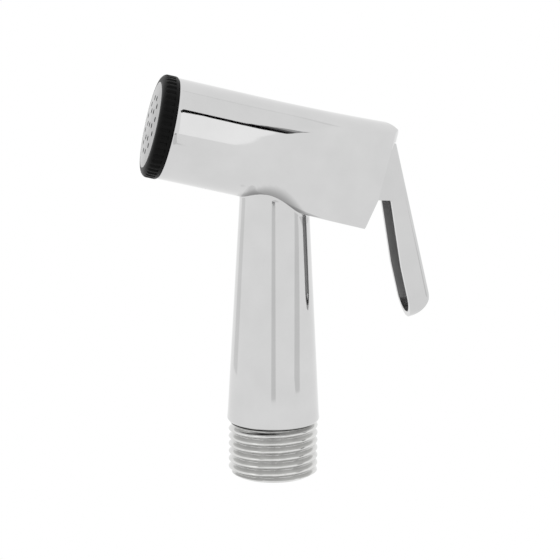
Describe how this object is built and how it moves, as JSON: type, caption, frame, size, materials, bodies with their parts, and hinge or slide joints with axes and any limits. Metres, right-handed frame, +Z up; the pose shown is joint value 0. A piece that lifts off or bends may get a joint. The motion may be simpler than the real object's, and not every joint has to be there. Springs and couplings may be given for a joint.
{
  "type": "handheld bidet shower",
  "caption": "Chromed trigger-type hand shower with a threaded inlet, a tapered handle, a tilted barrel with a drilled spray face and a sprung lever that opens an inner valve.",
  "frame": {"origin": "centre of the lower end of the threaded inlet", "axes": "+Z up the handle's axis, +X towards the lever, the spray face points to -X and slightly up"},
  "size_m": [0.0673, 0.0236, 0.0939],
  "materials": {
    "chrome": "polished chrome plate",
    "thread_chrome": "thin plate on a cut thread",
    "face_steel": "polished stainless sheet",
    "steel": "turned stainless steel",
    "brass": "turned brass",
    "ring_plastic": "black moulded plastic",
    "rubber": "moulded rubber"
  },
  "bodies": {
    "housing": {"body": "chrome", "inlet_nipple": "thread_chrome", "nipple_seal": "rubber", "inlet_strainer": "steel", "spray_ring": "ring_plastic", "spray_face": "face_steel", "ring_gasket": "rubber", "flow_plate": "ring_plastic", "valve_spring": "steel", "stem_seal_front": "rubber", "packing_washer": "brass", "stem_seal_rear": "rubber", "gland_nut": "brass", "pivot_pin": "steel"},
    "valve": {"valve_stem": "steel", "valve_cup": "brass", "valve_disc": "rubber", "stem_nut": "brass", "stem_cap": "steel"},
    "lever": {"lever": "chrome"}
  },
  "joints": [
    {"name": "lever_hinge", "type": "hinge", "parent": "housing", "child": "lever", "pos_m": [0.02207, 0, 0.07594], "axis": [0, 1, 0], "range_deg": [0, 17], "stiffness_Nm_per_rad": 0.055, "springref_deg": -8.59},
    {"name": "valve_slide", "type": "slide", "parent": "housing", "child": "valve", "axis": [-0.9744, 0, 0.225], "range_m": [0, 0.0019], "deforming": ["valve_spring"]}
  ],
  "couplings": [
    {"joint": "valve_slide", "follows": "lever_hinge", "m_per_rad": 0.0064}
  ]
}
